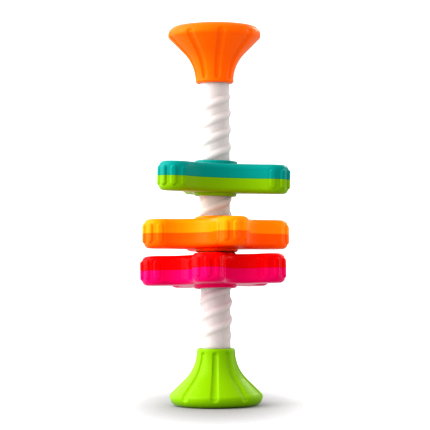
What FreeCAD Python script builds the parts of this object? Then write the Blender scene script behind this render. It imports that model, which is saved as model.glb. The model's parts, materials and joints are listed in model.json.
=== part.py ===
import FreeCAD, Part
import math
import os
import Sketcher

# A corkscrew spinner toy: a pole with two helical ribs between two flared caps, and three lobed
# spinners that turn as they slide along the pole.  Millimetres, +Z up, origin at the centre of
# the flat face the toy stands on.  Each sub-part is built in a frame of its own and then placed.

DIMENSIONS = {
    # the whole toy
    "toy_height": 280.0,
    # pole: a tube with two right-handed ribs that fade out near both caps
    "pole_radius": 10.9,
    "pole_bore": 8.0,
    "rib_crest": 12.2,
    "rib_width": 6.5,
    "rib_lead": 25.6,
    "rib_starts": 2,
    "rib_turns": 8,
    "rib_first": 37.5,
    "rib_root": 0.5,
    "plain_end": 5.8,
    "fade_end": 8.0,
    "pole_inset": 18.0,
    # caps: collar, flare at 45 degrees, widest line, rounded rim and flat end
    "cap_height": 42.0,
    "collar_radius": 14.1,
    "lip_round": 1.6,
    "flare_angle": 45.0,
    "wide_radius": 34.4,
    "wide_height": 6.5,
    "wide_round": 3.0,
    "cap_wall": 2.4,
    "socket_wall": 2.1,
    "web_thick": 3.0,
    "fit_gap": 0.05,
    # flutes in the caps
    "flutes": 9,
    "flute_radius": 5.2,
    "flute_depth": 0.75,
    "flute_start": 8.5,
    "bottom_flute_turn": -92.0,
    "top_flute_turn": -81.0,
    # end plates, plugs and screws
    "plate_radius": 25.0,
    "plate_thick": 2.4,
    "plate_ring": 20.0,
    "plate_ring_wall": 1.6,
    "plate_ring_tall": 3.0,
    "plug_length": 16.0,
    "plug_floor": 3.0,
    "screw_radius": 1.5,
    "screw_length": 14.0,
    "screw_head": 3.0,
    "screw_head_tall": 2.2,
    "screw_socket": 1.2,
    "screw_socket_deep": 1.4,
    # spinners: shells that meet at mid-height, with a raised boss round the bore
    "lobe_pitch": 42.5,
    "lobe_radius": 12.1,
    "body_half": 10.65,
    "edge_round": 3.8,
    "shell_wall": 2.0,
    "boss_radius": 15.8,
    "boss_round": 1.2,
    "hub_half": 13.1,
    "hub_bore": 13.4,
    "hub_tube": 18.4,
    # grip ribs on the lobes
    "grip_pitch": 43.6,
    "grip_radius": 2.4,
    "grip_reach": 12.55,
    "grip_half": 7.5,
    "grip_step": 40.0,
    # pegs and sockets that locate the two shells of a spinner
    "peg_radius": 2.0,
    "peg_boss": 4.2,
    "peg_tall": 5.0,
    "peg_deep": 5.6,
    # follower: a ring with two lugs in the grooves
    "follower_radius": 16.6,
    "follower_half": 3.0,
    "lug_tip": 11.5,
    "lug_width": 4.4,
    "lug_tall": 3.2,
    # guide ring: runs on the rib crests inside a chamber of the upper shell
    "guide_bore": 12.55,
    "guide_radius": 14.4,
    "guide_low": 4.2,
    "guide_tall": 3.8,
    "chamber_radius": 15.6,
    "chamber_top": 9.2,
    # where each spinner stands: height, sideways play taken up, lean and direction of a lobe
    "top_z": 167.35,
    "top_x": 0.4,
    "top_pitch": 0.4,
    "top_roll": 1.65,
    "top_turn": -12.9,
    "top_lobes": 3,
    "top_web": 20.5,
    "top_grips": 5,
    "middle_z": 126.05,
    "middle_x": 0.8,
    "middle_pitch": -2.05,
    "middle_roll": 0.0,
    "middle_turn": 15.3,
    "middle_lobes": 4,
    "middle_web": 27.0,
    "middle_grips": 5,
    "bottom_z": 99.25,
    "bottom_x": -0.4,
    "bottom_pitch": -3.1,
    "bottom_roll": -0.8,
    "bottom_turn": -23.6,
    "bottom_lobes": 5,
    "bottom_web": 31.0,
    "bottom_grips": 5,
}

SPINNERS = ("top", "middle", "bottom")

doc = FreeCAD.newDocument("corkscrew_spinner")
sheet = doc.addObject("Spreadsheet::Sheet", "sheet")
for row, (alias, number) in enumerate(DIMENSIONS.items(), start=1):
    sheet.set(f"A{row}", alias)
    sheet.set(f"B{row}", str(number))
    sheet.setAlias(f"B{row}", alias)
doc.recompute()


class Size:
    """A number together with the formula over the sheet's cells that gives it."""

    def __init__(self, value, text):
        self.value = value
        self.text = text

    def __add__(self, other):
        other = as_size(other)
        return Size(self.value + other.value, f"({self.text} + {other.text})")

    def __sub__(self, other):
        other = as_size(other)
        return Size(self.value - other.value, f"({self.text} - {other.text})")

    def __mul__(self, other):
        other = as_size(other)
        return Size(self.value * other.value, f"({self.text} * {other.text})")

    def __truediv__(self, other):
        other = as_size(other)
        return Size(self.value / other.value, f"({self.text} / {other.text})")

    def __neg__(self):
        return Size(-self.value, f"(-1 * {self.text})")


def as_size(number):
    """A plain number as a Size; a Size as it is."""
    if isinstance(number, Size):
        return number
    return Size(float(number), f"({float(number):.9g})")


def cell(alias):
    """The sheet's cell of that alias."""
    return Size(float(sheet.get(alias)), f"sheet.{alias}")


def cosine(angle):
    """Cosine of a Size in degrees."""
    angle = as_size(angle)
    return Size(math.cos(math.radians(angle.value)), f"cos({angle.text} * 1 deg)")


def sine(angle):
    """Sine of a Size in degrees."""
    angle = as_size(angle)
    return Size(math.sin(math.radians(angle.value)), f"sin({angle.text} * 1 deg)")


def kept(name, size):
    """Stores a derived size as a property of its own, so later formulas stay short."""
    derived.addProperty("App::PropertyFloat", name)
    derived.setExpression(name, size.text)
    return Size(size.value, f"derived.{name}")


derived = doc.addObject("App::VarSet", "derived")


# ---- sketches and features -------------------------------------------------------------------

def new_body(label):
    """A PartDesign body whose label names its file."""
    body = doc.addObject("PartDesign::Body", label)
    body.Label = label
    return body


def new_sketch(body, name, plane):
    """An empty sketch on one of the body's own origin planes."""
    sketch = body.newObject("Sketcher::SketchObject", f"{body.Name}_{name}")
    support = next(f for f in body.Origin.OriginFeatures if f.Role == plane)
    sketch.AttachmentSupport = (support, [""])
    sketch.MapMode = "FlatFace"
    return sketch


def pin_point(sketch, index, end, x, y):
    """Fixes one end of a sketch element at x, y, both bound to the sheet."""
    for axis, size in (("DistanceX", x), ("DistanceY", y)):
        if abs(size.value) < 1e-9:
            line = -2 if axis == "DistanceX" else -1
            sketch.addConstraint(Sketcher.Constraint("PointOnObject", index, end, line))
            continue
        number = sketch.addConstraint(Sketcher.Constraint(axis, -1, 1, index, end, size.value))
        sketch.setExpression(f"Constraints[{number}]", size.text)


def bound_radius(sketch, index, radius):
    """Gives an arc or a circle a radius bound to the sheet."""
    number = sketch.addConstraint(Sketcher.Constraint("Radius", index, radius.value))
    sketch.setExpression(f"Constraints[{number}]", radius.text)


def arc(radius, centre, turn):
    """A bend between two corners: its radius, its centre and its turn, left or right."""
    return radius, centre, turn


def draw(sketch, corners, closed=True):
    """Draws a chain of corners, each (x, y, bend), where bend leads on to the next corner."""
    corners = [(as_size(x), as_size(y), bend) for x, y, bend in corners]
    count = len(corners) if closed else len(corners) - 1
    ends = []
    for number in range(count):
        x0, y0, bend = corners[number]
        x1, y1, _ = corners[(number + 1) % len(corners)]
        start = FreeCAD.Vector(x0.value, y0.value, 0)
        finish = FreeCAD.Vector(x1.value, y1.value, 0)
        if bend is None:
            index = sketch.addGeometry(Part.LineSegment(start, finish), False)
            ends.append((index, 1, 2))
            continue
        radius, centre, turn = bend
        middle = FreeCAD.Vector(centre[0].value, centre[1].value, 0)
        first, last = (start, finish) if turn == "left" else (finish, start)
        angles = [math.atan2(p.y - middle.y, p.x - middle.x) for p in (first, last)]
        if angles[1] <= angles[0]:
            angles[1] += 2 * math.pi
        circle = Part.Circle(middle, FreeCAD.Vector(0, 0, 1), radius.value)
        index = sketch.addGeometry(Part.ArcOfCircle(circle, *angles), False)
        ends.append((index, 1, 2) if turn == "left" else (index, 2, 1))
        bound_radius(sketch, index, radius)
    for number, (index, start, finish) in enumerate(ends):
        x, y, _ = corners[number]
        pin_point(sketch, index, start, x, y)
        if closed or number + 1 < count:
            following, following_start, _ = ends[(number + 1) % count]
            sketch.addConstraint(
                Sketcher.Constraint("Coincident", index, finish, following, following_start)
            )
    if not closed:
        x, y, _ = corners[-1]
        pin_point(sketch, ends[-1][0], ends[-1][2], x, y)
    return sketch


def draw_circle(sketch, x, y, radius):
    """Adds a circle with its centre and radius bound to the sheet."""
    x, y, radius = as_size(x), as_size(y), as_size(radius)
    centre = FreeCAD.Vector(x.value, y.value, 0)
    up = FreeCAD.Vector(0, 0, 1)
    index = sketch.addGeometry(Part.Circle(centre, up, radius.value), False)
    pin_point(sketch, index, 3, x, y)
    bound_radius(sketch, index, radius)
    return sketch


def pad(body, sketch, length, reverse=False, both_ways=False):
    """A solid of that sketch, upwards unless reversed."""
    feature = body.newObject("PartDesign::Pad", f"{sketch.Name}_pad")
    feature.Profile = sketch
    feature.Reversed = reverse
    feature.Midplane = both_ways
    feature.setExpression("Length", as_size(length).text)
    return feature


def pocket(body, sketch, length):
    """Cuts upwards from the sketch's plane."""
    feature = body.newObject("PartDesign::Pocket", f"{sketch.Name}_pocket")
    feature.Profile = sketch
    feature.Reversed = True
    feature.setExpression("Length", as_size(length).text)
    return feature


def spun(body, kind, sketch):
    """A revolution or a groove of that sketch about its upright axis."""
    feature = body.newObject(f"PartDesign::{kind}", f"{sketch.Name}_{kind.lower()}")
    feature.Profile = sketch
    feature.ReferenceAxis = (sketch, ["V_Axis"])
    feature.Angle = 360
    return feature


def repeated(body, features, axis, count):
    """Repeats features round an axis, given as a sketch and the name of its axis."""
    pattern = body.newObject("PartDesign::PolarPattern", f"{features[0].Name}_ring")
    pattern.Originals = features
    pattern.Axis = axis
    pattern.Angle = 360
    pattern.setExpression("Occurrences", as_size(count).text)
    body.Tip = pattern
    return pattern


def rounded(body, base, radius, wanted):
    """Rounds the edges of base that wanted picks."""
    doc.recompute()
    names = [f"Edge{n}" for n, edge in enumerate(base.Shape.Edges, start=1) if wanted(edge)]
    if not names:
        raise RuntimeError(f"{base.Name} has no edge to round")
    feature = body.newObject("PartDesign::Fillet", f"{base.Name}_round")
    feature.Base = (base, names)
    feature.setExpression("Radius", radius.text)
    return feature


def place(body, x=0.0, y=0.0, z=0.0, rotation=None):
    """Puts a finished body where it belongs in the toy's frame."""
    body.Placement.Rotation = rotation or FreeCAD.Rotation()
    for axis, size in zip("xyz", (x, y, z)):
        body.setExpression(f".Placement.Base.{axis}", as_size(size).text)


# ---- the pole --------------------------------------------------------------------------------

def corkscrew_pole():
    """A tube with helical ribs, cut down to the plain tube next to both caps."""
    body = new_body("corkscrew_pole")
    length = cell("toy_height") - cell("pole_inset") * 2
    tube = draw(new_sketch(body, "tube", "XZ_Plane"), [
        (cell("pole_bore"), 0, None),
        (cell("pole_radius"), 0, None),
        (cell("pole_radius"), length, None),
        (cell("pole_bore"), length, None),
    ])
    spun(body, "Revolution", tube)

    foot = cell("rib_first") - cell("pole_inset")
    half = cell("rib_width") / 2
    rise = cell("rib_crest") - cell("pole_radius")
    bend = (half * half + rise * rise) / (rise * 2)
    buried = cell("pole_radius") - cell("rib_root")
    rib = draw(new_sketch(body, "rib", "XZ_Plane"), [
        (buried, foot - half, None),
        (cell("pole_radius"), foot - half,
         arc(bend, (cell("rib_crest") - bend, foot), "left")),
        (cell("pole_radius"), foot + half, None),
        (buried, foot + half, None),
    ])
    helix = body.newObject("PartDesign::AdditiveHelix", "rib_helix")
    helix.Profile = rib
    helix.ReferenceAxis = (rib, ["V_Axis"])
    helix.Mode = 0
    helix.LeftHanded = False
    helix.Reversed = False
    helix.setExpression("Pitch", "sheet.rib_lead")
    helix.setExpression("Height", "sheet.rib_lead * sheet.rib_turns")
    repeated(body, [helix], (rib, ["V_Axis"]), cell("rib_starts"))

    outside = cell("rib_crest") + cell("rib_root")
    fade = cell("fade_end") * (outside - cell("pole_radius")) / rise
    plain = cell("cap_height") - cell("pole_inset") + cell("plain_end")
    for name, end, way in (("low", as_size(0), 1), ("high", length, -1)):
        trim = draw(new_sketch(body, f"{name}_trim", "XZ_Plane"), [
            (cell("pole_radius"), end, None),
            (cell("pole_radius"), end + plain * way, None),
            (outside, end + (plain + fade) * way, None),
            (outside * 1.2, end + (plain + fade) * way, None),
            (outside * 1.2, end, None),
        ])
        spun(body, "Groove", trim)
    place(body, z=cell("pole_inset"))


# ---- the caps --------------------------------------------------------------------------------

def flare_radius():
    """The bend that leads from the upright collar to the straight flare without a corner."""
    slope, corner = cell("flare_angle"), cell("wide_round")
    out = cell("wide_radius") - corner + corner * cosine(slope) - cell("collar_radius")
    drop = cell("cap_height") - cell("lip_round") - cell("wide_height") - corner * sine(slope)
    bend = (drop * sine(slope) - out * cosine(slope)) / (as_size(1) - cosine(slope))
    return kept("flare_radius", bend)


def cap_shell(label, flare, turn, flipped):
    """A flared shell with a socket for the pole, built along +Y with its flat end at 0."""
    body = new_body(label)
    tall = cell("cap_height")
    wall = cell("cap_wall")
    slope = cell("flare_angle")
    wide, corner = cell("wide_radius"), cell("wide_round")
    rim = cell("wide_height")
    lip, collar = cell("lip_round"), cell("collar_radius")
    corner_x = wide - corner
    foot = (corner_x + corner * cosine(slope), rim + corner * sine(slope))
    middle = (collar + flare, tall - lip)

    def on_flare(radius, angle):
        """A point on a bend about the flare's centre, at an angle below the collar."""
        return middle[0] - radius * cosine(angle), middle[1] - radius * sine(angle)

    inside = on_flare(flare + wall, slope)
    socket = cell("pole_radius") + cell("fit_gap")
    tube = socket + cell("socket_wall")
    hole = cell("screw_radius") + cell("fit_gap") * 4
    web = cell("pole_inset")
    mouth = cell("plate_radius") + cell("fit_gap")
    rim_x = wide - rim
    profile = draw(new_sketch(body, "profile", "XY_Plane"), [
        (mouth, 0, None),
        (rim_x, 0, arc(rim, (rim_x, rim), "left")),
        (wide, rim, arc(corner, (corner_x, rim), "left")),
        (*foot, None),
        (*on_flare(flare, slope), arc(flare, middle, "right")),
        (collar, tall - lip, arc(lip, (collar - lip, tall - lip), "left")),
        (collar - lip, tall, None),
        (socket, tall, None),
        (socket, web, None),
        (hole, web, None),
        (hole, web - cell("web_thick"), None),
        (tube, web - cell("web_thick"), None),
        (tube, inside[1] + inside[0] - tube, None),
        (*inside, None),
        (corner_x + (corner - wall) * cosine(slope), rim + (corner - wall) * sine(slope), None),
        (wide - wall, rim, arc(rim - wall, (rim_x, rim), "right")),
        (rim_x, wall, None),
        (mouth, wall, None),
    ])
    spun(body, "Revolution", profile)

    # one flute: a round cutter drawn along the flare, with round ends, repeated about the cap
    outset = cell("flute_radius") - cell("flute_depth")
    first = cell("flute_start")
    start = on_flare(flare - outset, first)
    finish = (wide + outset, rim)
    path = draw(new_sketch(body, "flute_path", "XY_Plane"), [
        (*start, arc(flare - outset, middle, "left")),
        (*on_flare(flare - outset, slope), None),
        (corner_x + (corner + outset) * cosine(slope), rim + (corner + outset) * sine(slope),
         arc(corner + outset, (corner_x, rim), "right")),
        (*finish, None),
    ], closed=False)
    ring = new_sketch(body, "flute_ring", "XZ_Plane")
    lean = FreeCAD.Rotation(FreeCAD.Vector(0, 1, 0), first.value)
    ring.AttachmentOffset = FreeCAD.Placement(FreeCAD.Vector(), lean)
    ring.setExpression(".AttachmentOffset.Base.x", start[0].text)
    ring.setExpression(".AttachmentOffset.Base.z", (-start[1]).text)
    draw_circle(ring, 0, 0, cell("flute_radius"))
    flute = body.newObject("PartDesign::SubtractivePipe", f"{label}_flute")
    flute.Profile = ring
    flute.Spine = path
    ends = []
    for number, (x, y) in enumerate((start, finish)):
        ball = body.newObject("PartDesign::SubtractiveSphere", f"{label}_flute_end_{number}")
        ball.setExpression("Radius", "sheet.flute_radius")
        ball.setExpression(".Placement.Base.x", x.text)
        ball.setExpression(".Placement.Base.y", y.text)
        ends.append(ball)
    repeated(body, [flute, *ends], (profile, ["V_Axis"]), cell("flutes"))

    rotation = about_z(cell(turn))
    if flipped:
        place(body, z=cell("toy_height"), rotation=rotation * TURNED_OVER * STOOD_UP)
    else:
        place(body, rotation=rotation * STOOD_UP)


def end_plate(label, flipped):
    """A disc that closes a cap, with a stiffening ring on its inner side."""
    body = new_body(label)
    thick, ring = cell("plate_thick"), cell("plate_ring")
    profile = draw(new_sketch(body, "profile", "XZ_Plane"), [
        (0, 0, None),
        (cell("plate_radius"), 0, None),
        (cell("plate_radius"), thick, None),
        (ring, thick, None),
        (ring, thick + cell("plate_ring_tall"), None),
        (ring - cell("plate_ring_wall"), thick + cell("plate_ring_tall"), None),
        (ring - cell("plate_ring_wall"), thick, None),
        (0, thick, None),
    ])
    spun(body, "Revolution", profile)
    place_at_end(body, as_size(0), flipped)


def pole_plug(label, flipped):
    """A plug in the end of the pole, with a blind hole for the screw."""
    body = new_body(label)
    hole = cell("screw_radius") + cell("fit_gap")
    outer = cell("pole_bore") - cell("fit_gap")
    deep = cell("plug_length") - cell("plug_floor")
    profile = draw(new_sketch(body, "profile", "XZ_Plane"), [
        (hole, 0, None),
        (outer, 0, None),
        (outer, cell("plug_length"), None),
        (0, cell("plug_length"), None),
        (0, deep, None),
        (hole, deep, None),
    ])
    spun(body, "Revolution", profile)
    place_at_end(body, cell("pole_inset"), flipped)


def cap_screw(label, flipped):
    """A pan-head screw with a round driver socket, head down."""
    body = new_body(label)
    head, tall = cell("screw_head"), cell("screw_head_tall")
    shank = cell("screw_radius")
    profile = draw(new_sketch(body, "profile", "XZ_Plane"), [
        (cell("screw_socket"), 0, None),
        (head, 0, None),
        (head, tall, None),
        (shank, tall, None),
        (shank, tall + cell("screw_length"), None),
        (0, tall + cell("screw_length"), None),
        (0, cell("screw_socket_deep"), None),
        (cell("screw_socket"), cell("screw_socket_deep"), None),
    ])
    spun(body, "Revolution", profile)
    place_at_end(body, cell("pole_inset") - cell("web_thick") - tall, flipped)


# ---- the spinners ----------------------------------------------------------------------------

def turned(point, angle):
    """A point turned about the origin by a Size in degrees."""
    x, y = point
    return x * cosine(angle) - y * sine(angle), x * sine(angle) + y * cosine(angle)


def star_sizes(which):
    """A spinner's outline: round lobes, and between two of them a wide bend that touches both."""
    lobe, pitch, web = cell("lobe_radius"), cell("lobe_pitch"), cell(f"{which}_web")
    half = as_size(180) / cell(f"{which}_lobes")
    step = lobe - web
    middle = kept(f"{which}_web_middle",
                  (pitch * pitch - step * step) / ((pitch * cosine(half) + step) * 2))
    bend = kept(f"{which}_web_bend", middle - web)
    centre_x = kept(f"{which}_web_x", middle * cosine(half))
    centre_y = kept(f"{which}_web_y", middle * sine(half))
    sizes = {"web": (centre_x, centre_y)}
    for name, inset in (("outline", as_size(0)), ("hollow", cell("shell_wall"))):
        share = (lobe - inset) / (lobe + bend)
        sizes[name] = {
            "lobe": lobe - inset,
            "bend": kept(f"{which}_{name}_bend", bend + inset),
            "touch": (
                kept(f"{which}_{name}_touch_x", pitch + (centre_x - pitch) * share),
                kept(f"{which}_{name}_touch_y", centre_y * share),
            ),
        }
    return sizes


def star(body, name, which, sizes):
    """Draws the closed outline of a spinner, or of the hollow inside it."""
    at = sizes[name]
    touch_x, touch_y = at["touch"]
    corners = []
    for number in range(int(cell(f"{which}_lobes").value)):
        angle = as_size(360 * number) / cell(f"{which}_lobes")
        lobe_middle = turned((cell("lobe_pitch"), as_size(0)), angle)
        web_middle = turned(sizes["web"], angle)
        corners += [
            (*turned((touch_x, -touch_y), angle), arc(at["lobe"], lobe_middle, "left")),
            (*turned((touch_x, touch_y), angle), arc(at["bend"], web_middle, "right")),
        ]
    return draw(new_sketch(body, name, "XY_Plane"), corners)


def on_each_lobe(body, name, which, radius):
    """Circles at the middle of every lobe."""
    sketch = new_sketch(body, name, "XY_Plane")
    for number in range(int(cell(f"{which}_lobes").value)):
        angle = as_size(360 * number) / cell(f"{which}_lobes")
        draw_circle(sketch, *turned((cell("lobe_pitch"), as_size(0)), angle), radius)
    return sketch


def grips(body, which):
    """Circles that stand a little proud of the lobes: the grip ribs in plan."""
    sketch = new_sketch(body, "grips", "XY_Plane")
    count = int(cell(f"{which}_grips").value)
    inset = cell("grip_reach") - cell("grip_radius")
    for lobe in range(int(cell(f"{which}_lobes").value)):
        lobe_angle = as_size(360 * lobe) / cell(f"{which}_lobes")
        for grip in range(count):
            angle = cell("grip_step") * (grip - (count - 1) / 2)
            local = (cell("grip_pitch") + inset * cosine(angle), inset * sine(angle))
            draw_circle(sketch, *turned(local, lobe_angle), cell("grip_radius"))
    return sketch


def spinner_shell(which, side, sizes):
    """Half of a spinner, hollow and open at the parting plane, with the hub's tube and boss."""
    body = new_body(f"{which}_spinner_{side}_shell")
    half = cell("body_half")
    block = pad(body, star(body, "outline", which, sizes), half)

    def on_top(edge):
        return edge.BoundBox.ZMin > half.value - 0.001

    rounded(body, block, cell("edge_round"), on_top)
    pad(body, grips(body, which), cell("grip_half"))
    pocket(body, star(body, "hollow", which, sizes), half - cell("shell_wall"))
    pad(body, draw_circle(new_sketch(body, "hub", "XY_Plane"), 0, 0, cell("hub_tube")),
        half - cell("shell_wall") / 2)
    boss = pad(body, draw_circle(new_sketch(body, "boss", "XY_Plane"), 0, 0,
                                 cell("boss_radius")), cell("hub_half"))

    def boss_edge(edge):
        return edge.BoundBox.ZMin > cell("hub_half").value - 0.001

    rounded(body, boss, cell("boss_round"), boss_edge)
    pad(body, on_each_lobe(body, "peg_bosses", which, cell("peg_boss")),
        half - cell("shell_wall") / 2)
    pocket(body, draw_circle(new_sketch(body, "bore", "XY_Plane"), 0, 0, cell("hub_bore")),
           cell("hub_half") * 2)
    seat = cell("follower_radius") + cell("fit_gap")
    pocket(body, draw_circle(new_sketch(body, "seat", "XY_Plane"), 0, 0, seat),
           cell("follower_half") + cell("fit_gap"))
    if side == "upper":
        chamber = draw_circle(new_sketch(body, "chamber", "XY_Plane"), 0, 0,
                              cell("chamber_radius"))
        pocket(body, chamber, cell("chamber_top"))
        holes = on_each_lobe(body, "peg_holes", which, cell("peg_radius") + cell("fit_gap"))
        pocket(body, holes, cell("peg_deep"))
        place_spinner(body, which, about_z(cell(f"{which}_turn")))
    else:
        pegs = on_each_lobe(body, "pegs", which, cell("peg_radius"))
        pad(body, pegs, cell("peg_tall"), reverse=True)
        place_spinner(body, which, about_z(cell(f"{which}_turn")) * TURNED_OVER)


def follower(which):
    """A ring held between the shells, with a lug in each of the pole's two grooves."""
    body = new_body(f"{which}_spinner_follower")
    half = cell("follower_half")
    ring = draw(new_sketch(body, "ring", "XZ_Plane"), [
        (cell("hub_bore"), -half, None),
        (cell("follower_radius"), -half, None),
        (cell("follower_radius"), half, None),
        (cell("hub_bore"), half, None),
    ])
    spun(body, "Revolution", ring)
    side = cell("lug_width") / 2
    back = (cell("hub_bore") + cell("follower_radius")) / 2
    lug = draw(new_sketch(body, "lug", "XY_Plane"), [
        (cell("lug_tip"), -side, None),
        (back, -side, None),
        (back, side, None),
        (cell("lug_tip"), side, None),
    ])
    first = pad(body, lug, cell("lug_tall"), both_ways=True)
    repeated(body, [first], (lug, ["N_Axis"]), cell("rib_starts"))
    # the grooves lie half a rib spacing from the ribs and climb one lead a turn
    spacing = DIMENSIONS["rib_lead"] / DIMENSIONS["rib_starts"]
    climb = DIMENSIONS[f"{which}_z"] - DIMENSIONS["rib_first"] - spacing / 2
    turn = 360 * climb / DIMENSIONS["rib_lead"]
    place_spinner(body, which, FreeCAD.Rotation(FreeCAD.Vector(0, 0, 1), turn))


def guide_ring(which):
    """A plain ring round the rib crests, loose in the chamber of the upper shell."""
    body = new_body(f"{which}_spinner_guide_ring")
    profile = draw(new_sketch(body, "profile", "XZ_Plane"), [
        (cell("guide_bore"), 0, None),
        (cell("guide_radius"), 0, None),
        (cell("guide_radius"), cell("guide_tall"), None),
        (cell("guide_bore"), cell("guide_tall"), None),
    ])
    spun(body, "Revolution", profile)
    place(body, z=cell(f"{which}_z") + cell("guide_low"))


# ---- placing ---------------------------------------------------------------------------------

TURNED_OVER = FreeCAD.Rotation(FreeCAD.Vector(1, 0, 0), 180)
STOOD_UP = FreeCAD.Rotation(FreeCAD.Vector(1, 0, 0), 90)


def about_z(angle):
    """A turn about the upright axis by a Size in degrees."""
    return FreeCAD.Rotation(FreeCAD.Vector(0, 0, 1), angle.value)


def place_at_end(body, height, flipped):
    """Puts a piece at a height above the bottom end, or the same way in from the top end."""
    if flipped:
        place(body, z=cell("toy_height") - height, rotation=TURNED_OVER)
    else:
        place(body, z=height)


def place_spinner(body, which, rotation):
    """Puts a spinner's piece on the pole with the small lean that its loose bore allows."""
    pitch = FreeCAD.Rotation(FreeCAD.Vector(1, 0, 0), cell(f"{which}_pitch").value)
    roll = FreeCAD.Rotation(FreeCAD.Vector(0, 1, 0), cell(f"{which}_roll").value)
    place(body, x=cell(f"{which}_x"), z=cell(f"{which}_z"), rotation=pitch * roll * rotation)


# ---- the toy ---------------------------------------------------------------------------------

bend = flare_radius()
stars = {spinner: star_sizes(spinner) for spinner in SPINNERS}
doc.recompute()

corkscrew_pole()
for end, over in (("bottom", False), ("top", True)):
    cap_shell(f"{end}_cap_shell", bend, f"{end}_flute_turn", over)
    end_plate(f"{end}_end_plate", over)
    pole_plug(f"{end}_pole_plug", over)
    cap_screw(f"{end}_cap_screw", over)
for spinner in SPINNERS:
    spinner_shell(spinner, "upper", stars[spinner])
    spinner_shell(spinner, "lower", stars[spinner])
    follower(spinner)
    guide_ring(spinner)
doc.recompute()

for item in doc.Objects:
    if "Invalid" in item.State or "Error" in item.State:
        raise RuntimeError(f"{item.Label}: {item.State}")

os.makedirs("parts", exist_ok=True)
for body in doc.findObjects("PartDesign::Body"):
    if body.Shape.isNull() or not body.Shape.isValid():
        raise RuntimeError(f"{body.Label} has no valid shape")
    print(f"{body.Label:32} {len(body.Shape.Solids)} solid {body.Shape.Volume / 1000:8.2f} cm3")
    body.Shape.exportStep(f"parts/{body.Label}.step")
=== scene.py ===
import json
import math

import bmesh
import bpy
from mathutils import Matrix, Vector


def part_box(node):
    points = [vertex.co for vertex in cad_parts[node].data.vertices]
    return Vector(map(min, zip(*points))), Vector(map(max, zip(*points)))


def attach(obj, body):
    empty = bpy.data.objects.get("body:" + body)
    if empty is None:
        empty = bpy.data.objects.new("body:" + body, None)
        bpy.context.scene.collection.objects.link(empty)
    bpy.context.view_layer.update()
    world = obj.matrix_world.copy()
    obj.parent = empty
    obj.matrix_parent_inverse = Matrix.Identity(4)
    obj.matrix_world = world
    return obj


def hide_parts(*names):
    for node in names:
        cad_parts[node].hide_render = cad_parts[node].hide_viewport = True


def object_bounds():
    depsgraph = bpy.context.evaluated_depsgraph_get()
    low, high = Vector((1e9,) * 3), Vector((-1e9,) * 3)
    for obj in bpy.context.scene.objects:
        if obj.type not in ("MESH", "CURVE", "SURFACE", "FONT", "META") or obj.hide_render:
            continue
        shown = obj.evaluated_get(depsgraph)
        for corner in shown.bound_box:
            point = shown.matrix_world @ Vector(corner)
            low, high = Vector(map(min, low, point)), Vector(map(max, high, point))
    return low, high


# A corkscrew spinner toy in metres, +Z up, standing on its base at the origin.
# Every visible moulding is rebuilt here as a finer mesh in the place that the CAD nodes give.

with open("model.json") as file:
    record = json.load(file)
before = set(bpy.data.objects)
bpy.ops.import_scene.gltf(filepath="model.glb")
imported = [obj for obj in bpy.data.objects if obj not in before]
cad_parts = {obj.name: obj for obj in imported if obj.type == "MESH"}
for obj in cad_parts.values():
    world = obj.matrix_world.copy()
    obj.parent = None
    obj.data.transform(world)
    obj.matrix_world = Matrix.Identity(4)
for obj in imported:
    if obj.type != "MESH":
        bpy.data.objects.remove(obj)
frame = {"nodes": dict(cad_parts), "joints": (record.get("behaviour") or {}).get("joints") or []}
cad_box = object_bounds()
MM = 0.001


# ---- sizes -------------------------------------------------------------------------------------

# pole
POLE_RADIUS = 10.9 * MM
RIB_CREST = 12.2 * MM
RIB_WIDTH = 6.9 * MM
RIB_LEAD = 25.6 * MM
RIB_STARTS = 2
RIB_HEIGHT_AT_X = 37.5 * MM
PLAIN_END = 5.6 * MM
FADE_LENGTH = 6.5 * MM
POLE_AROUND = 160
POLE_ROWS = 620

# caps
CAP_HEIGHT = 42.0 * MM
COLLAR_RADIUS = 14.1 * MM
LIP_ROUND = 1.6 * MM
FLARE_ANGLE = math.radians(45)
WIDE_RADIUS = 34.4 * MM
RIM_ROUND = 6.5 * MM
WIDE_ROUND = 3.0 * MM
CAP_WALL = 2.4 * MM
SOCKET_RADIUS = 10.95 * MM
SOCKET_OUTER = 13.05 * MM
SCREW_HOLE = 1.7 * MM
WEB_TOP = 18.0 * MM
WEB_BOTTOM = 15.0 * MM
MOUTH_RADIUS = 25.05 * MM
FLUTES = 9
PER_FLUTE = 40
FLUTE_DEPTH = 1.15 * MM
FLUTE_FROM_COLLAR = 3.2 * MM
FLUTE_PAST_WIDEST = 2.7 * MM
FLUTE_HALF_AT_COLLAR = 2.3 * MM
FLUTE_HALF_AT_RIM = 3.4 * MM
FLUTE_WIDENING = 1.4
FLARE_STEPS = 44
SLOPE_STEPS = 22
RIM_STEPS = 22
ROUND_STEPS = 8

# spinners
LOBE_PITCH = 42.5 * MM
LOBE_RADIUS = 12.1 * MM
BODY_HALF = 10.65 * MM
EDGE_ROUND = 3.8 * MM
PARTING_ROUND = 0.22 * MM
BOSS_RADIUS = 15.8 * MM
BOSS_ROUND = 1.3 * MM
BOSS_FOOT = 0.7 * MM
HUB_HALF = 13.1 * MM
HUB_BORE = 13.4 * MM
HUB_CHAMFER = 0.3 * MM
HUB_AROUND = 128
SEAT_RADIUS = 16.65 * MM
SEAT_DEPTH = 3.05 * MM
CHAMBER_RADIUS = 15.6 * MM
CHAMBER_TOP = 9.2 * MM
GRIP_PITCH = 43.6 * MM
GRIP_REACH = 12.5 * MM
GRIP_ANGLES = tuple(math.radians(a) for a in (-80, -40, 0, 40, 80))
GRIP_HALF_WIDTH = 2.6 * MM
GRIP_HALF_LENGTH = 7.5 * MM
LOBE_STEPS = 90
BAY_STEPS = 26
PARTING_STEPS = 3
WALL_STEPS = 14
EDGE_STEPS = 12
FOOT_STEPS = 4
BOSS_STEPS = 8

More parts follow.
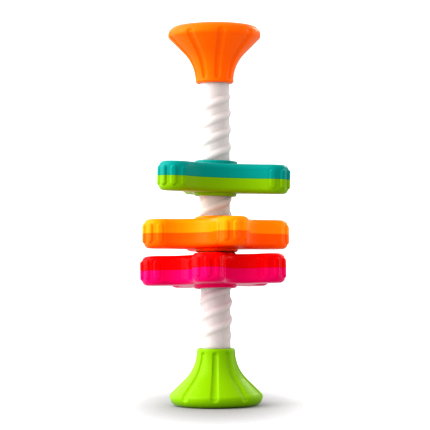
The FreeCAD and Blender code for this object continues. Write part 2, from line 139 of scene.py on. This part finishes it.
# cross-sections of ribs and flutes: how flat the middle is and how softly the edge fades
POLE_RIB_SECTION = (2, 1.25)
FLUTE_SECTION = (2.6, 1.1)
GRIP_SECTION = (4, 1.2)

# each spinner: lobes, axis to the wall between lobes and sideways play (mm), lean and turn (degrees)
SPINNERS = {
    "top": dict(lobes=3, web=20.5, shift=0.4, pitch=0.4, roll=1.65, turn=-12.9,
                upper="teal", lower="lime"),
    "middle": dict(lobes=4, web=27.0, shift=0.8, pitch=-2.05, roll=0.0, turn=15.3,
                   upper="amber", lower="orange"),
    "bottom": dict(lobes=5, web=31.0, shift=-0.4, pitch=-3.1, roll=-0.8, turn=-23.6,
                   upper="red", lower="magenta"),
}
FLUTE_TURN = {"bottom": -92.0, "top": -81.0}

# the table top, a grey oval round the base that fades out as a painted shadow halo: half its width
# and depth, how far back it sits, how far below the base, its painted shadow grey
SHADOW_OVAL_REACH = Vector((0.115, 0.31, 1))
FLOOR_SETBACK = 0.01
FLOOR_DROP = 0.0002
FLOOR_SHADOW_GREY = 0.33

# light: the surround's two levels, where it is brightest, what shows behind, and the softboxes
SURROUND_DIM = 0.589
SURROUND_BRIGHT = 1.330
BRIGHT_SIDE = (-0.8, -0.25, 0.55)
BACKDROP = 1.0
SOFTBOXES = {
    "key_left": dict(place=(-1.25, -0.35, 0.75), size=(1.3, 1.3), watts=17),
    "fill_right": dict(place=(1.2, 0.35, 0.4), size=(0.9, 0.9), watts=3),
    "rear_right_window": dict(place=(0.78, 1.17, 0.93), size=(0.3, 0.45), watts=2),
}

# camera: lens in mm, place in metres, tip up and roll in degrees
LENS = 142.5
CAMERA_PLACE = (-0.0002, -1.26, 0.103)
CAMERA_TIP_UP = 1.70
CAMERA_ROLL = -0.29


# ---- mesh helpers ------------------------------------------------------------------------------

def finish_mesh(bm, name, matrix=None, sharp=40):
    """Turns a bmesh into a smooth-shaded object with creases kept sharp."""
    bmesh.ops.recalc_face_normals(bm, faces=bm.faces)
    if matrix is not None:
        bmesh.ops.transform(bm, matrix=matrix, verts=bm.verts)
    mesh = bpy.data.meshes.new(name)
    bm.to_mesh(mesh)
    bm.free()
    mesh.shade_smooth()
    mesh.set_sharp_from_angle(angle=math.radians(sharp))
    piece = bpy.data.objects.new(name, mesh)
    bpy.context.scene.collection.objects.link(piece)
    return piece


def ring(bm, points):
    """Adds one loop of vertices."""
    return [bm.verts.new(p) for p in points]


def bridge(bm, low, high):
    """Joins two loops of the same length with quads."""
    count = len(low)
    for i in range(count):
        j = (i + 1) % count
        bm.faces.new((low[i], low[j], high[j], high[i]))


def loop_edges(bm, loop):
    """The edges along a closed loop, made where they don't exist yet."""
    edges = []
    for i, vert in enumerate(loop):
        other = loop[(i + 1) % len(loop)]
        edges.append(bm.edges.get((vert, other)) or bm.edges.new((vert, other)))
    return edges


def flat_fill(bm, outer, inner):
    """Fills the flat ring between two loops with triangles."""
    edges = loop_edges(bm, outer) + loop_edges(bm, inner)
    bmesh.ops.triangle_fill(bm, use_beauty=True, edges=edges)


def circle(radius, z, count):
    """Points of a level circle about the upright axis."""
    step = 2 * math.pi / count
    return [Vector((radius * math.cos(i * step), radius * math.sin(i * step), z))
            for i in range(count)]


def bend(centre, radius, start, end, steps):
    """Points along an arc, both ends included, with the outward direction at each."""
    points = []
    for i in range(steps + 1):
        angle = start + (end - start) * i / steps
        out = Vector((math.cos(angle), math.sin(angle)))
        points.append((Vector(centre) + out * radius, out))
    return points


def smooth(t):
    """0 to 1 with no corner at either end."""
    t = min(max(t, 0.0), 1.0)
    return t * t * (3 - 2 * t)


def swell(t, section):
    """The height of a rib or flute: 1 along its middle, 0 from its edge (t = 1) outwards."""
    if t >= 1:
        return 0.0
    flatness, softness = section
    return (1 - t ** flatness) ** softness


# ---- the pole ----------------------------------------------------------------------------------

def make_pole():
    """A round pole with helical ribs that rise smoothly between the plain ends."""
    low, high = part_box("corkscrew_pole")
    collars = (CAP_HEIGHT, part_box("top_cap_shell")[1].z - CAP_HEIGHT)
    spacing = RIB_LEAD / RIB_STARTS
    bm = bmesh.new()
    loops = []
    for row in range(POLE_ROWS + 1):
        z = low.z + (high.z - low.z) * row / POLE_ROWS
        from_collar = min(z - collars[0], collars[1] - z)
        grown = smooth((from_collar - PLAIN_END) / FADE_LENGTH)
        points = []
        for i in range(POLE_AROUND):
            angle = 2 * math.pi * i / POLE_AROUND
            along = (z - RIB_HEIGHT_AT_X - RIB_LEAD * angle / (2 * math.pi)) / spacing
            off = abs(along - round(along)) * spacing / (RIB_WIDTH / 2)
            rise = swell(off, POLE_RIB_SECTION) * grown
            radius = POLE_RADIUS + (RIB_CREST - POLE_RADIUS) * rise
            points.append(Vector((radius * math.cos(angle), radius * math.sin(angle), z)))
        loops.append(ring(bm, points))
    for below, above in zip(loops, loops[1:]):
        bridge(bm, below, above)
    bm.faces.new(reversed(loops[0]))
    bm.faces.new(loops[-1])
    return finish_mesh(bm, "pole_moulding")


# ---- the caps ----------------------------------------------------------------------------------

def cap_profile():
    """The cap's section in radius and height: the outside with outward directions, the inside."""
    corner_x = WIDE_RADIUS - WIDE_ROUND
    rim_x = WIDE_RADIUS - RIM_ROUND
    sin, cos = math.sin(FLARE_ANGLE), math.cos(FLARE_ANGLE)
    foot = Vector((corner_x + WIDE_ROUND * cos, RIM_ROUND + WIDE_ROUND * sin))
    drop = CAP_HEIGHT - LIP_ROUND - foot.y
    flare = (drop * sin - (foot.x - COLLAR_RADIUS) * cos) / (1 - cos)
    middle = (COLLAR_RADIUS + flare, CAP_HEIGHT - LIP_ROUND)
    quarter = math.pi / 2

    lip = (COLLAR_RADIUS - LIP_ROUND, CAP_HEIGHT - LIP_ROUND)
    outer = bend(lip, LIP_ROUND, quarter, 0, ROUND_STEPS)
    curve = bend(middle, flare, math.pi, math.pi + FLARE_ANGLE, FLARE_STEPS)
    outer += [(p, -out) for p, out in curve[1:]]
    top = outer[-1][0]
    for i in range(1, SLOPE_STEPS):
        outer.append((top.lerp(foot, i / SLOPE_STEPS), Vector((cos, sin))))
    outer += bend((corner_x, RIM_ROUND), WIDE_ROUND, FLARE_ANGLE, 0, ROUND_STEPS)
    outer += bend((rim_x, RIM_ROUND), RIM_ROUND, 0, -quarter, RIM_STEPS)[1:]
    inner = [
        (MOUTH_RADIUS, 0.0), (MOUTH_RADIUS, CAP_WALL), (rim_x, CAP_WALL),
        (WIDE_RADIUS - CAP_WALL, RIM_ROUND),
        (middle[0] - (flare + CAP_WALL) * cos, middle[1] - (flare + CAP_WALL) * sin),
    ]
    turn = inner[-1]
    inner += [
        (SOCKET_OUTER, turn[1] + turn[0] - SOCKET_OUTER), (SOCKET_OUTER, WEB_BOTTOM),
        (SCREW_HOLE, WEB_BOTTOM), (SCREW_HOLE, WEB_TOP), (SOCKET_RADIUS, WEB_TOP),
        (SOCKET_RADIUS, CAP_HEIGHT),
    ]
    return outer, [Vector(p) for p in inner]


def flute_depth_at(side, along, length):
    """How deep the cap's flute is at a distance to its side and a distance along it."""
    share = along / length
    wider = FLUTE_HALF_AT_RIM - FLUTE_HALF_AT_COLLAR
    half = FLUTE_HALF_AT_COLLAR + wider * share ** FLUTE_WIDENING
    past = max(half - along, along - (length - half), 0.0)
    return FLUTE_DEPTH * swell(math.hypot(side, past) / half, FLUTE_SECTION)


def make_cap(end):
    """A flared cap with recessed flutes, closed inside as the CAD shell is."""
    outer, inner = cap_profile()
    lengths = [0.0]
    for (a, _), (b, _) in zip(outer, outer[1:]):
        lengths.append(lengths[-1] + (b - a).length)
    widest = max(range(len(outer)), key=lambda i: outer[i][0].x)
    flute_length = lengths[widest] + FLUTE_PAST_WIDEST - FLUTE_FROM_COLLAR
    around = FLUTES * PER_FLUTE
    bm = bmesh.new()
    loops = []
    for (point, out), length in zip(outer, lengths):
        points = []
        for i in range(around):
            angle = 2 * math.pi * i / around
            off = (i + PER_FLUTE / 2) % PER_FLUTE - PER_FLUTE / 2
            side = off * 2 * math.pi / around * point.x
            depth = 0.0
            if 0 < length - FLUTE_FROM_COLLAR < flute_length:
                depth = flute_depth_at(side, length - FLUTE_FROM_COLLAR, flute_length)
            p = point - out * depth
            points.append(Vector((p.x * math.cos(angle), p.x * math.sin(angle), p.y)))
        loops.append(ring(bm, points))
    for point in inner:
        loops.append(ring(bm, circle(point.x, point.y, around)))
    for below, above in zip(loops, loops[1:] + loops[:1]):
        bridge(bm, below, above)
    turn = Matrix.Rotation(math.radians(FLUTE_TURN[end]), 4, "Z")
    if end == "top":
        lift = Matrix.Translation((0, 0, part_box("top_cap_shell")[1].z))
        turn = lift @ turn @ Matrix.Rotation(math.pi, 4, "X")
    return finish_mesh(bm, f"{end}_cap_moulding", turn)


# ---- the spinners ------------------------------------------------------------------------------

def star_outline(spinner):
    """Points round a spinner in plan: (point, outward direction, angle on its lobe or None).

    Each lobe's round is joined to the next by one wide bend that is tangent to both.
    """
    lobes, web = spinner["lobes"], spinner["web"] * MM
    half = math.pi / lobes
    step = LOBE_RADIUS - web
    distance = (LOBE_PITCH ** 2 - step ** 2) / (2 * (LOBE_PITCH * math.cos(half) + step))
    middle = Vector((math.cos(half), math.sin(half))) * distance
    away = middle - Vector((LOBE_PITCH, 0))
    touch = math.atan2(away.y, away.x)

    lobe_arc = bend((LOBE_PITCH, 0), LOBE_RADIUS, 0, touch, LOBE_STEPS)
    bay_arc = bend(middle, distance - web, touch + math.pi, half + math.pi, BAY_STEPS)[1:]
    half_outline = [(p, out, math.atan2(out.y, out.x)) for p, out in lobe_arc]
    half_outline += [(p, -out, None) for p, out in bay_arc]

    mirrored = [(Vector((p.x, -p.y)), Vector((n.x, -n.y)), None if a is None else -a)
                for p, n, a in half_outline]
    whole = mirrored[:0:-1] + half_outline[:-1]
    outline = []
    for number in range(lobes):
        turn = Matrix.Rotation(2 * math.pi * number / lobes, 2)
        outline += [(turn @ p, turn @ n, a) for p, n, a in whole]
    return outline


def grip_tips():
    """Where a lobe's grip ribs stand: (direction from the lobe's middle, rise out of its wall)."""
    tips = []
    ahead = GRIP_PITCH - LOBE_PITCH
    for angle in GRIP_ANGLES:
        tip = Vector((ahead + GRIP_REACH * math.cos(angle), GRIP_REACH * math.sin(angle)))
        tips.append((math.atan2(tip.y, tip.x), tip.length - LOBE_RADIUS))
    return tips


def grip_rise_at(angle, z, tips):
    """How far a grip rib stands out of the lobe at that angle and height."""
    if angle is None:
        return 0.0
    direction, rise = min(tips, key=lambda tip: abs(angle - tip[0]))
    side = abs(angle - direction) * LOBE_RADIUS
    past = max(abs(z) - (GRIP_HALF_LENGTH - GRIP_HALF_WIDTH), 0.0)
    return rise * swell(math.hypot(side, past) / GRIP_HALF_WIDTH, GRIP_SECTION)


def wall_rows():
    """The outer wall from the parting line to the flat top: (inset, height)."""
    rows = []
    for i in range(PARTING_STEPS + 1):
        angle = math.pi / 2 * i / PARTING_STEPS
        rows.append((PARTING_ROUND * (1 - math.sin(angle)), PARTING_ROUND * (1 - math.cos(angle))))
    straight = BODY_HALF - EDGE_ROUND
    for i in range(1, WALL_STEPS + 1):
        rows.append((0.0, PARTING_ROUND + (straight - PARTING_ROUND) * i / WALL_STEPS))
    for i in range(1, EDGE_STEPS + 1):
        angle = math.pi / 2 * i / EDGE_STEPS
        rows.append((EDGE_ROUND * (1 - math.cos(angle)), straight + EDGE_ROUND * math.sin(angle)))
    return rows


def hub_rows():
    """The boss and the inside of the hub, from the flat top down to the parting plane."""
    rows = []
    for i in range(FOOT_STEPS + 1):
        angle = math.pi / 2 * i / FOOT_STEPS
        rows.append((BOSS_RADIUS + BOSS_FOOT * (1 - math.sin(angle)),
                     BODY_HALF + BOSS_FOOT * (1 - math.cos(angle))))
    for i in range(BOSS_STEPS + 1):
        angle = math.pi / 2 * i / BOSS_STEPS
        rows.append((BOSS_RADIUS - BOSS_ROUND * (1 - math.cos(angle)),
                     HUB_HALF - BOSS_ROUND * (1 - math.sin(angle))))
    rows += [
        (HUB_BORE + HUB_CHAMFER, HUB_HALF), (HUB_BORE, HUB_HALF - HUB_CHAMFER),
        (HUB_BORE, CHAMBER_TOP),
        (CHAMBER_RADIUS, CHAMBER_TOP), (CHAMBER_RADIUS, SEAT_DEPTH),
        (SEAT_RADIUS, SEAT_DEPTH), (SEAT_RADIUS, 0.0),
    ]
    return rows


def make_shell(which, side):
    """One half of a spinner: wall with grips, rounded edge, flat face, boss and hub."""
    spinner = SPINNERS[which]
    outline = star_outline(spinner)
    tips = grip_tips()
    bm = bmesh.new()
    loops = []
    for inset, z in wall_rows():
        points = []
        for p, out, angle in outline:
            q = p + out * (grip_rise_at(angle, z, tips) - inset)
            points.append(Vector((q.x, q.y, z)))
        loops.append(ring(bm, points))
    for below, above in zip(loops, loops[1:]):
        bridge(bm, below, above)
    hub = [ring(bm, circle(radius, z, HUB_AROUND)) for radius, z in hub_rows()]
    for below, above in zip(hub, hub[1:]):
        bridge(bm, below, above)
    flat_fill(bm, loops[-1], hub[0])
    flat_fill(bm, loops[0], hub[-1])
    hinge = next(j for j in frame["joints"] if j["name"] == f"{which}_spinner_turn")
    place = Matrix.Translation((spinner["shift"] * MM, 0, hinge["pos_m"][2]))
    place @= Matrix.Rotation(math.radians(spinner["pitch"]), 4, "X")
    place @= Matrix.Rotation(math.radians(spinner["roll"]), 4, "Y")
    place @= Matrix.Rotation(math.radians(spinner["turn"]), 4, "Z")
    if side == "lower":
        place @= Matrix.Rotation(math.pi, 4, "X")
    return finish_mesh(bm, f"{which}_{side}_moulding", place)


# ---- materials ---------------------------------------------------------------------------------

def srgb(r, g, b):
    """A display colour, 0 to 255, as linear light."""
    def linear(c):
        c /= 255
        return c / 12.92 if c <= 0.04045 else ((c + 0.055) / 1.055) ** 2.4
    return linear(r), linear(g), linear(b), 1.0


def shade(colour, level):
    """A colour made darker or lighter."""
    return tuple(min(c * level, 1.0) for c in colour[:3]) + (1.0,)


def plastic(name, colour, roughness=0.3, scatter=0.0, sheen=None):
    """Moulded gloss plastic: faint flow mottling in the colour and a fine orange-peel skin."""
    own_sheen = tuple(0.3 + 0.7 * c for c in colour[:3]) + (1.0,)
    material = bpy.data.materials.new(name)
    material.use_nodes = True
    nodes, links = material.node_tree.nodes, material.node_tree.links
    shader = nodes["Principled BSDF"]
    shader.inputs["IOR"].default_value = 1.5
    shader.inputs["Specular IOR Level"].default_value = 0.2
    shader.inputs["Specular Tint"].default_value = sheen or own_sheen
    if scatter:
        shader.inputs["Subsurface Weight"].default_value = scatter
        shader.inputs["Subsurface Radius"].default_value = (1.0, 1.0, 1.0)
        shader.inputs["Subsurface Scale"].default_value = 0.01
    place = nodes.new("ShaderNodeTexCoord")

    flow = nodes.new("ShaderNodeTexNoise")
    flow.inputs["Scale"].default_value = 45
    flow.inputs["Detail"].default_value = 3
    links.new(place.outputs["Object"], flow.inputs["Vector"])
    tint = nodes.new("ShaderNodeMix")
    tint.data_type = "RGBA"
    tint.inputs["A"].default_value = shade(colour, 0.965)
    tint.inputs["B"].default_value = shade(colour, 1.03)
    links.new(flow.outputs["Fac"], tint.inputs["Factor"])
    links.new(tint.outputs["Result"], shader.inputs["Base Color"])

    wear = nodes.new("ShaderNodeMapRange")
    wear.inputs["From Min"].default_value = 0.3
    wear.inputs["From Max"].default_value = 0.7
    wear.inputs["To Min"].default_value = roughness * 0.85
    wear.inputs["To Max"].default_value = roughness * 1.2
    links.new(flow.outputs["Fac"], wear.inputs["Value"])
    links.new(wear.outputs["Result"], shader.inputs["Roughness"])

    peel = nodes.new("ShaderNodeTexNoise")
    peel.inputs["Scale"].default_value = 900
    peel.inputs["Detail"].default_value = 2
    links.new(place.outputs["Object"], peel.inputs["Vector"])
    bump = nodes.new("ShaderNodeBump")
    bump.inputs["Strength"].default_value = 0.06
    bump.inputs["Distance"].default_value = 0.0002
    links.new(peel.outputs["Fac"], bump.inputs["Height"])
    links.new(bump.outputs["Normal"], shader.inputs["Normal"])
    return material


def steel(name):
    """Plated screw steel with fine turning marks."""
    material = bpy.data.materials.new(name)
    material.use_nodes = True
    nodes, links = material.node_tree.nodes, material.node_tree.links
    shader = nodes["Principled BSDF"]
    shader.inputs["Metallic"].default_value = 1.0
    shader.inputs["Base Color"].default_value = (0.56, 0.57, 0.6, 1)
    place = nodes.new("ShaderNodeTexCoord")
    marks = nodes.new("ShaderNodeTexNoise")
    marks.inputs["Scale"].default_value = 1500
    links.new(place.outputs["Object"], marks.inputs["Vector"])
    grain = nodes.new("ShaderNodeMapRange")
    grain.inputs["To Min"].default_value = 0.25
    grain.inputs["To Max"].default_value = 0.45
    links.new(marks.outputs["Fac"], grain.inputs["Value"])
    links.new(grain.outputs["Result"], shader.inputs["Roughness"])
    return material


WHITE = (1, 1, 1, 1)
MATERIALS = {
    "orange_cap": plastic("orange_cap_plastic", srgb(255, 112, 0)),
    "lime_base": plastic("lime_base_plastic", srgb(134, 182, 0)),
    "teal": plastic("teal_plastic", srgb(0, 140, 132)),
    "lime": plastic("lime_plastic", srgb(128, 169, 0)),
    "amber": plastic("amber_plastic", srgb(252, 147, 0)),
    "orange": plastic("orange_plastic", srgb(255, 105, 0)),
    "red": plastic("red_plastic", srgb(226, 0, 6), 0.24),
    "magenta": plastic("magenta_plastic", srgb(228, 0, 104), 0.24),
    "white": plastic("white_pole_plastic", srgb(202, 195, 193), 0.35, 1.0, WHITE),
    "acetal": plastic("white_acetal", srgb(235, 235, 230), 0.4, 0.0, WHITE),
    "steel": steel("plated_steel"),
}


# ---- putting the toy together ------------------------------------------------------------------

def dress(piece, material, body, node):
    """Gives a piece its material and the body it rides on, and hides the CAD node it stands for."""
    piece.data.materials.append(MATERIALS[material])
    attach(piece, body)
    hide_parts(node)


def repaint(node, material):
    """Gives a CAD node that stays a material of its own."""
    for slot in frame["nodes"][node].material_slots:
        slot.link = "OBJECT"
        slot.material = MATERIALS[material]


dress(make_pole(), "white", "pole_and_caps", "corkscrew_pole")
dress(make_cap("bottom"), "lime_base", "pole_and_caps", "bottom_cap_shell")
dress(make_cap("top"), "orange_cap", "pole_and_caps", "top_cap_shell")
for which, spinner in SPINNERS.items():
    for side in ("upper", "lower"):
        colour = spinner[side]
        dress(make_shell(which, side), colour, f"{which}_spinner",
              f"{which}_spinner_{side}_shell")
    repaint(f"{which}_spinner_follower", "acetal")
    repaint(f"{which}_spinner_guide_ring", "acetal")
for end, colour in (("bottom", "lime_base"), ("top", "orange_cap")):
    repaint(f"{end}_end_plate", colour)
    repaint(f"{end}_pole_plug", "acetal")
    repaint(f"{end}_cap_screw", "steel")


# ---- studio ------------------------------------------------------------------------------------

def make_floor():
    """A grey oval table top that fades out into the white surround: a painted shadow halo round the
    base, lying under the real shadows the lamps cast on it.
    """
    mesh = bpy.data.meshes.new("floor")
    far = SHADOW_OVAL_REACH.y
    corners = [(-far, -far, 0), (far, -far, 0), (far, far, 0), (-far, far, 0)]
    mesh.from_pydata(corners, [], [(0, 1, 2, 3)])
    floor = bpy.data.objects.new("floor", mesh)
    bpy.context.scene.collection.objects.link(floor)
    floor.location = (0, FLOOR_SETBACK, -FLOOR_DROP)
    material = bpy.data.materials.new("floor_painted_shadow_oval")
    material.use_nodes = True
    nodes, links = material.node_tree.nodes, material.node_tree.links
    shader = nodes["Principled BSDF"]
    # painted shadow: the floor's grey, shown only in a stretched oval round the base
    shader.inputs["Base Color"].default_value = (FLOOR_SHADOW_GREY, FLOOR_SHADOW_GREY, FLOOR_SHADOW_GREY, 1)
    shader.inputs["Roughness"].default_value = 0.8
    shader.inputs["Specular IOR Level"].default_value = 0.1
    place = nodes.new("ShaderNodeTexCoord")
    oval = nodes.new("ShaderNodeVectorMath")
    oval.operation = "DIVIDE"
    oval.inputs[1].default_value = SHADOW_OVAL_REACH
    links.new(place.outputs["Object"], oval.inputs[0])
    distance = nodes.new("ShaderNodeVectorMath")
    distance.operation = "LENGTH"
    links.new(oval.outputs["Vector"], distance.inputs[0])
    # the painted shadow halo fades out towards the oval's edge
    fade = nodes.new("ShaderNodeMapRange")
    fade.interpolation_type = "SMOOTHSTEP"
    fade.inputs["From Min"].default_value = 0.1
    fade.inputs["From Max"].default_value = 1.0
    fade.inputs["To Min"].default_value = 1.0
    fade.inputs["To Max"].default_value = 0.0
    links.new(distance.outputs["Value"], fade.inputs["Value"])
    links.new(fade.outputs["Result"], shader.inputs["Alpha"])
    mesh.materials.append(material)


def make_world():
    """A white surround that is brightest on one side, with an even white backdrop."""
    world = bpy.data.worlds.new("studio")
    bpy.context.scene.world = world
    world.use_nodes = True
    nodes, links = world.node_tree.nodes, world.node_tree.links
    place = nodes.new("ShaderNodeTexCoord")
    facing = nodes.new("ShaderNodeVectorMath")
    facing.operation = "DOT_PRODUCT"
    facing.inputs[1].default_value = Vector(BRIGHT_SIDE).normalized()
    links.new(place.outputs["Generated"], facing.inputs[0])
    level = nodes.new("ShaderNodeMapRange")
    level.interpolation_type = "SMOOTHSTEP"
    level.inputs["From Min"].default_value = -0.3
    level.inputs["From Max"].default_value = 1.0
    level.inputs["To Min"].default_value = SURROUND_DIM
    level.inputs["To Max"].default_value = SURROUND_BRIGHT
    links.new(facing.outputs["Value"], level.inputs["Value"])
    lit = nodes["Background"]
    lit.inputs["Color"].default_value = WHITE
    links.new(level.outputs["Result"], lit.inputs["Strength"])
    seen = nodes.new("ShaderNodeBackground")
    seen.inputs["Color"].default_value = WHITE
    seen.inputs["Strength"].default_value = BACKDROP
    path = nodes.new("ShaderNodeLightPath")
    mix = nodes.new("ShaderNodeMixShader")
    links.new(path.outputs["Is Camera Ray"], mix.inputs["Fac"])
    links.new(lit.outputs["Background"], mix.inputs[1])
    links.new(seen.outputs["Background"], mix.inputs[2])
    links.new(mix.outputs["Shader"], nodes["World Output"].inputs["Surface"])


def softbox(name, place, target, size, watts):
    """A soft rectangular light aimed at a point."""
    light = bpy.data.lights.new(name, "AREA")
    light.shape = "RECTANGLE"
    light.size, light.size_y = size
    light.energy = watts
    lamp = bpy.data.objects.new(name, light)
    bpy.context.scene.collection.objects.link(lamp)
    lamp.location = place
    aim = Vector(target) - Vector(place)
    lamp.rotation_euler = aim.to_track_quat("-Z", "Y").to_euler()


def make_camera():
    """A long lens a little above the table, tipped up slightly."""
    camera = bpy.data.cameras.new("camera")
    camera.lens = LENS
    camera.sensor_width = 36
    camera.clip_start, camera.clip_end = 0.1, 50
    eye = bpy.data.objects.new("camera", camera)
    bpy.context.scene.collection.objects.link(eye)
    eye.location = CAMERA_PLACE
    tilt = Matrix.Rotation(math.radians(90 + CAMERA_TIP_UP), 3, "X")
    roll = Matrix.Rotation(math.radians(CAMERA_ROLL), 3, "Z")
    eye.rotation_euler = (tilt @ roll).to_euler()
    bpy.context.scene.camera = eye


middle = (cad_box[0] + cad_box[1]) / 2
make_floor()
make_world()
for name, box in SOFTBOXES.items():
    softbox(name, box["place"], middle, box["size"], box["watts"])
make_camera()
bpy.context.scene.view_settings.view_transform = "Standard"
bpy.context.scene.view_settings.look = "High Contrast"
